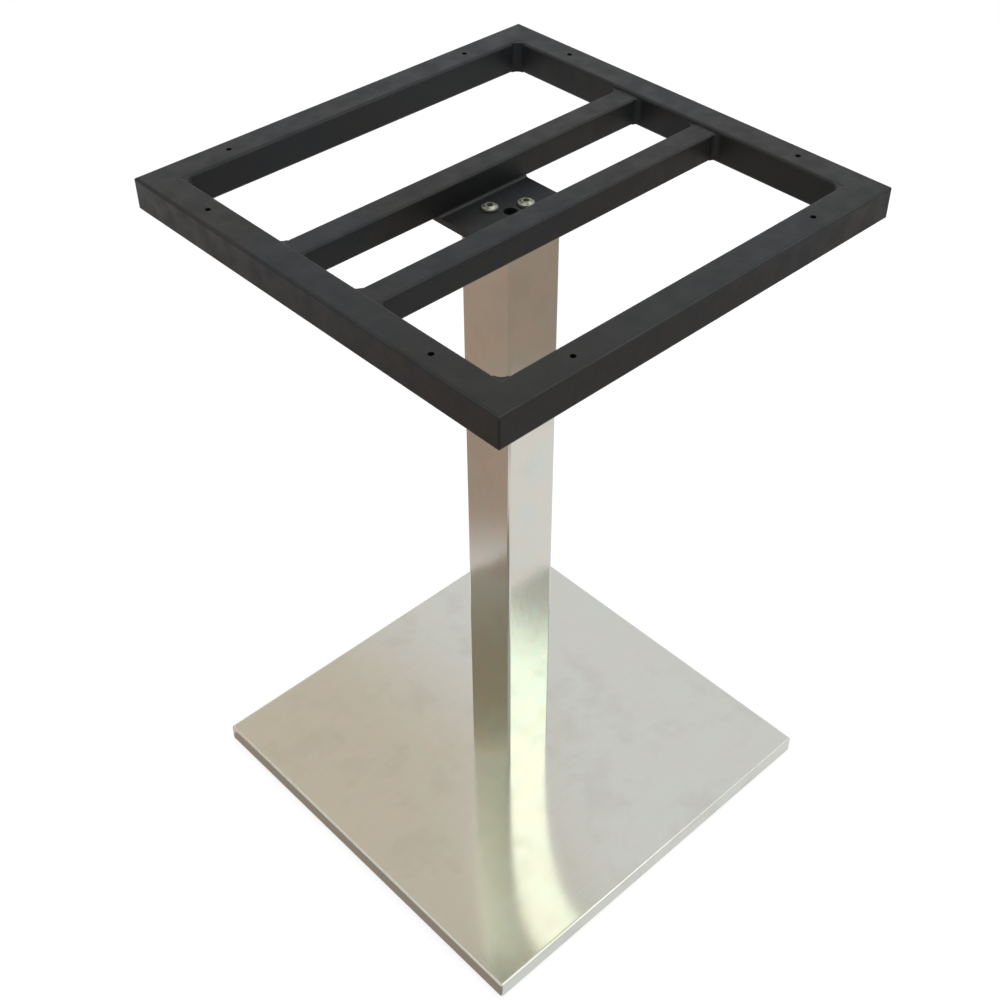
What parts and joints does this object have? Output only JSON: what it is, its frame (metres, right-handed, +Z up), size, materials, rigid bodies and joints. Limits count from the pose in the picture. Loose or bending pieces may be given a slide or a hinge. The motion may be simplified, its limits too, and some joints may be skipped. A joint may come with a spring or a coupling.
{
  "type": "square dining table base",
  "caption": "Pedestal base for a square dining table: black tube top frame, square brushed steel column and flat square foot with levelling feet.",
  "frame": {"origin": "on the floor, under the middle of the column", "axes": "+Z up along the column; +X along the cross bars, to the right; +Y from the front rail to the back rail"},
  "size_m": [0.45, 0.45, 0.72],
  "materials": {
    "black_powder_coat": "fine satin black powder coat over welded steel tube",
    "brushed_stainless": "stainless steel with a long fine brushed grain",
    "plated_steel": "bright zinc plating on rolled and turned steel",
    "blackened_steel": "steel washers with a dull black oxide",
    "plain_steel": "cut steel plate with weld beads, left as it came",
    "painted_steel": "flat black paint on thick steel plate",
    "black_nylon": "moulded black nylon"
  },
  "bodies": {
    "base": {"frame_rail_front": "black_powder_coat", "frame_rail_right": "black_powder_coat", "frame_rail_back": "black_powder_coat", "frame_rail_left": "black_powder_coat", "cross_bar_front": "black_powder_coat", "cross_bar_back": "black_powder_coat", "mounting_plate": "black_powder_coat", "frame_welds": "black_powder_coat", "frame_bolts": "plated_steel", "frame_bolt_washers": "blackened_steel", "column_tube": "brushed_stainless", "column_top_plate": "plain_steel", "column_foot_plate": "plain_steel", "column_welds": "plain_steel", "base_cover": "brushed_stainless", "base_weight": "painted_steel", "base_bolts": "plated_steel", "base_bolt_washers": "plated_steel"},
    "pad_front_left": {"levelling_pad_front_left": "black_nylon"},
    "screw_front_left": {"levelling_screw_front_left": "plated_steel"},
    "pad_front_right": {"levelling_pad_front_right": "black_nylon"},
    "screw_front_right": {"levelling_screw_front_right": "plated_steel"},
    "pad_back_right": {"levelling_pad_back_right": "black_nylon"},
    "screw_back_right": {"levelling_screw_back_right": "plated_steel"},
    "pad_back_left": {"levelling_pad_back_left": "black_nylon"},
    "screw_back_left": {"levelling_screw_back_left": "plated_steel"}
  },
  "joints": [
    {"name": "foot_front_left_height", "type": "slide", "parent": "base", "child": "pad_front_left", "axis": [0, 0, -1], "range_m": [0, 0.005]},
    {"name": "foot_front_left_turn", "type": "hinge", "parent": "pad_front_left", "child": "screw_front_left", "pos_m": [-0.185, -0.185, 0.0103], "axis": [0, 0, -1], "range_deg": [0, 1200]},
    {"name": "foot_front_right_height", "type": "slide", "parent": "base", "child": "pad_front_right", "axis": [0, 0, -1], "range_m": [0, 0.005]},
    {"name": "foot_front_right_turn", "type": "hinge", "parent": "pad_front_right", "child": "screw_front_right", "pos_m": [0.185, -0.185, 0.0103], "axis": [0, 0, -1], "range_deg": [0, 1200]},
    {"name": "foot_back_right_height", "type": "slide", "parent": "base", "child": "pad_back_right", "axis": [0, 0, -1], "range_m": [0, 0.005]},
    {"name": "foot_back_right_turn", "type": "hinge", "parent": "pad_back_right", "child": "screw_back_right", "pos_m": [0.185, 0.185, 0.0103], "axis": [0, 0, -1], "range_deg": [0, 1200]},
    {"name": "foot_back_left_height", "type": "slide", "parent": "base", "child": "pad_back_left", "axis": [0, 0, -1], "range_m": [0, 0.005]},
    {"name": "foot_back_left_turn", "type": "hinge", "parent": "pad_back_left", "child": "screw_back_left", "pos_m": [-0.185, 0.185, 0.0103], "axis": [0, 0, -1], "range_deg": [0, 1200]}
  ],
  "couplings": [
    {"joint": "foot_front_left_turn", "follows": "foot_front_left_height", "rad_per_m": 4188.8},
    {"joint": "foot_front_right_turn", "follows": "foot_front_right_height", "rad_per_m": 4188.8},
    {"joint": "foot_back_right_turn", "follows": "foot_back_right_height", "rad_per_m": 4188.8},
    {"joint": "foot_back_left_turn", "follows": "foot_back_left_height", "rad_per_m": 4188.8}
  ]
}
